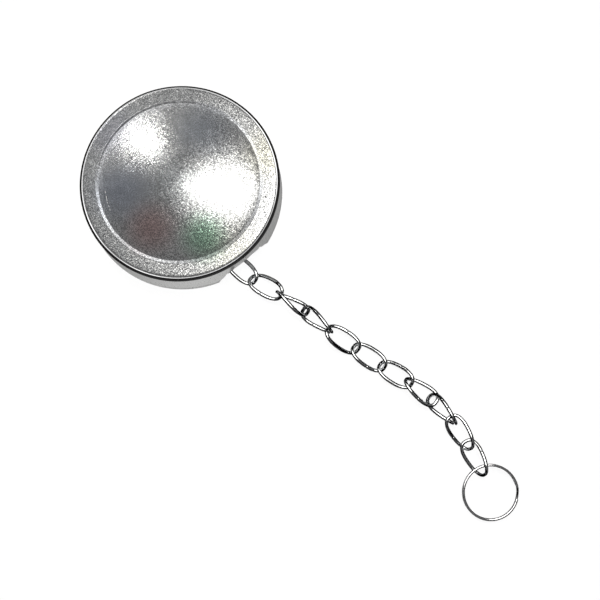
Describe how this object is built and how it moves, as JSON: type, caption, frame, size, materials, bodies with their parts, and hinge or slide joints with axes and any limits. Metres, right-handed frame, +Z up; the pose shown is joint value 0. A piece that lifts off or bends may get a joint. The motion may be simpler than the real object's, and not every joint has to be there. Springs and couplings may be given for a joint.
{
  "type": "deck fill cap",
  "caption": "Round pressed-metal bayonet filler cap with a shallow domed top, sprung seal, and a retaining chain of twisted links that ends in a split ring.",
  "frame": {"origin": "middle of the footprint, on the surface that the cap's skirt stands on", "axes": "+Z up out of the cap's dome; +X from the cap along its chain to the split ring"},
  "size_m": [0.2238, 0.0806, 0.0237],
  "materials": {
    "cap_zinc": "bright zinc plating with a fine spangle",
    "inner_zinc": "dull zinc plating",
    "spring_steel": "oiled spring steel",
    "seal_rubber": "matte black",
    "chain_zinc": "bright drawn wire, zinc plated",
    "ring_steel": "bright nickel-like plating"
  },
  "bodies": {
    "cap": {"cap_shell": "cap_zinc", "centre_stud": "inner_zinc", "rivet_washer": "inner_zinc", "spacer_sleeve": "inner_zinc", "retaining_washer": "inner_zinc", "spring_seat": "inner_zinc", "pressure_spring": "spring_steel"},
    "seal": {"seal_plate": "inner_zinc", "seal_ring": "seal_rubber", "seal_clamp_ring": "inner_zinc"},
    "eye": {"swivel_eye": "inner_zinc"},
    "link_01": {"chain_link_01": "chain_zinc"},
    "link_02": {"chain_link_02": "chain_zinc"},
    "link_03": {"chain_link_03": "chain_zinc"},
    "link_04": {"chain_link_04": "chain_zinc"},
    "link_05": {"chain_link_05": "chain_zinc"},
    "link_06": {"chain_link_06": "chain_zinc"},
    "link_07": {"chain_link_07": "chain_zinc"},
    "link_08": {"chain_link_08": "chain_zinc"},
    "link_09": {"chain_link_09": "chain_zinc"},
    "link_10": {"chain_link_10": "chain_zinc"},
    "link_11": {"chain_link_11": "chain_zinc"},
    "link_12": {"chain_link_12": "chain_zinc"},
    "link_13": {"chain_link_13": "chain_zinc"},
    "ring": {"split_ring": "ring_steel"}
  },
  "joints": [
    {"name": "seal_press", "type": "slide", "parent": "cap", "child": "seal", "axis": [0, 0, 1], "range_m": [0, 0.0025], "stiffness_N_per_m": 3000, "springref_m": -0.004, "deforming": ["pressure_spring"]},
    {"name": "eye_swivel", "type": "hinge", "parent": "cap", "child": "eye", "pos_m": [-0.07194, 0, 0.0045], "axis": [0, 0, 1], "range_deg": [-1.2, 1.2]},
    {"name": "link_01_turn", "type": "hinge", "parent": "eye", "child": "link_01", "pos_m": [-0.06334, -0.00183, 0.0042], "axis": [0, 0, 1], "range_deg": [-1.2, 1.2]},
    {"name": "link_02_dip", "type": "hinge", "parent": "link_01", "child": "link_02", "pos_m": [-0.05107, -0.00444, 0.0022], "axis": [0.1392, 0.9903, 0], "range_deg": [0, 8]},
    {"name": "link_03_turn", "type": "hinge", "parent": "link_02", "child": "link_03", "pos_m": [-0.0385, -0.0062, 0.00195], "axis": [0, 0, 1], "range_deg": [-3, 4]},
    {"name": "link_04_dip", "type": "hinge", "parent": "link_03", "child": "link_04", "pos_m": [-0.02581, -0.00554, 0.00195], "axis": [-0.2588, 0.9659, 0], "range_deg": [-20, 30]},
    {"name": "link_05_turn", "type": "hinge", "parent": "link_04", "child": "link_05", "pos_m": [-0.01381, -0.00232, 0.00455], "axis": [0, 0, 1], "range_deg": [-25, 30]},
    {"name": "link_06_dip", "type": "hinge", "parent": "link_05", "child": "link_06", "pos_m": [-0.00138, 0.00009, 0.0035], "axis": [-0.1045, 0.9945, 0], "range_deg": [-25, 30]},
    {"name": "link_07_turn", "type": "hinge", "parent": "link_06", "child": "link_07", "pos_m": [0.01121, 0.00142, 0.00455], "axis": [0, 0, 1], "range_deg": [-40, 20]},
    {"name": "link_08_dip", "type": "hinge", "parent": "link_07", "child": "link_08", "pos_m": [0.02337, 0.004, 0.00195], "axis": [-0.1908, 0.9816, 0], "range_deg": [-25, 35]},
    {"name": "link_09_turn", "type": "hinge", "parent": "link_08", "child": "link_09", "pos_m": [0.03583, 0.00642, 0.00195], "axis": [0, 0, 1], "range_deg": [-18, 18]},
    {"name": "link_10_dip", "type": "hinge", "parent": "link_09", "child": "link_10", "pos_m": [0.04813, 0.00926, 0.0034], "axis": [-0.1392, 0.9903, 0], "range_deg": [-45, 40]},
    {"name": "link_11_turn", "type": "hinge", "parent": "link_10", "child": "link_11", "pos_m": [0.05941, 0.01085, 0.0031], "axis": [0, 0, 1], "range_deg": [-14, 30]},
    {"name": "link_12_dip", "type": "hinge", "parent": "link_11", "child": "link_12", "pos_m": [0.07071, 0.01045, 0.00455], "axis": [0.225, 0.9744, 0], "range_deg": [-40, 35]},
    {"name": "link_13_turn", "type": "hinge", "parent": "link_12", "child": "link_13", "pos_m": [0.08174, 0.00791, 0.0032], "axis": [0, 0, 1], "range_deg": [-30, 30]},
    {"name": "ring_flip", "type": "hinge", "parent": "link_13", "child": "ring", "pos_m": [0.09114, 0.00524, 0.0037], "axis": [0.4067, 0.9135, 0], "range_deg": [-60, 60]}
  ]
}
